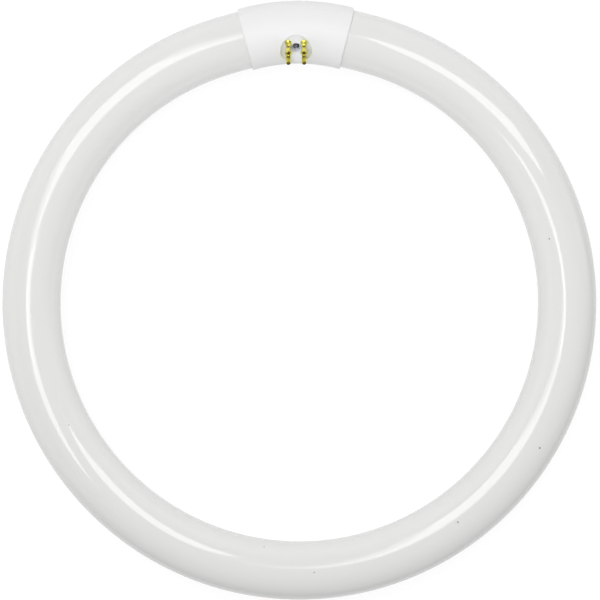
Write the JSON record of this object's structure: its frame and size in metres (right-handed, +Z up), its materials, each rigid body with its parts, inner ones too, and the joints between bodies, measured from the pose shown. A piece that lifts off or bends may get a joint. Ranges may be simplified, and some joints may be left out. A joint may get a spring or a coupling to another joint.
{
  "type": "circular fluorescent tube",
  "caption": "Ring-shaped fluorescent lamp: white-coated glass tube bent to a circle, its sealed ends held in a moulded plastic base with tilted brass contact pins.",
  "frame": {"origin": "on the ring's axis, at the level of the surface that the lamp lies on", "axes": "+Z up along the ring's axis, towards the side that the pins lean to; +Y from the ring's middle to the base; +X to the right with the base at the top"},
  "size_m": [0.3024, 0.3049, 0.0342],
  "materials": {
    "coated_glass": "clear gloss over white",
    "base_plastic": "satin white",
    "pin_brass": "polished",
    "plated_steel": "bright plated",
    "lead_wire": "bare wire"
  },
  "bodies": {
    "root": {"glass_tube": "coated_glass", "base_front_shell": "base_plastic", "base_back_shell": "base_plastic", "base_screw": "plated_steel", "contact_pin_outer_left": "pin_brass", "lead_wire_outer_left": "lead_wire", "contact_pin_outer_right": "pin_brass", "lead_wire_outer_right": "lead_wire", "contact_pin_inner_left": "pin_brass", "lead_wire_inner_left": "lead_wire", "contact_pin_inner_right": "pin_brass", "lead_wire_inner_right": "lead_wire"}
  },
  "joints": []
}
